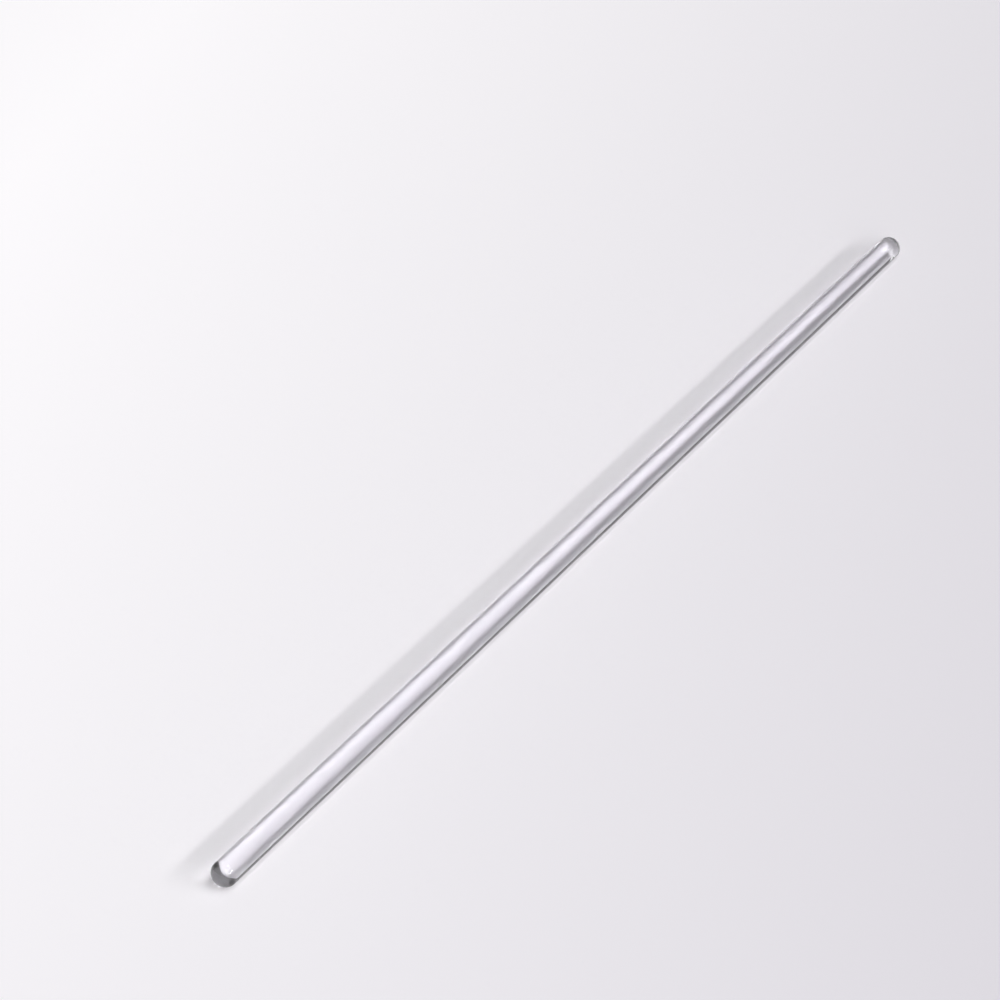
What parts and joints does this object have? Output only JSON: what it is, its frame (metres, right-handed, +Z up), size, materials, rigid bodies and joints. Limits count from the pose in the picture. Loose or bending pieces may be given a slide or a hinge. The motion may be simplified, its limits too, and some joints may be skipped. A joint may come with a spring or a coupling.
{
  "type": "glass stirring rod",
  "caption": "Solid clear glass rod with both ends flame polished round, for stirring and pouring liquids by hand.",
  "frame": {"origin": "centre of the rod, on its axis midway between the two tips", "axes": "+X along the rod, +Y and +Z across it, +Z up as the rod lies on a bench"},
  "size_m": [0.4, 0.008, 0.008],
  "materials": {
    "clear_glass": "clear drawn glass, smooth and glossy"
  },
  "bodies": {
    "root": {"glass_rod": "clear_glass"}
  },
  "joints": []
}
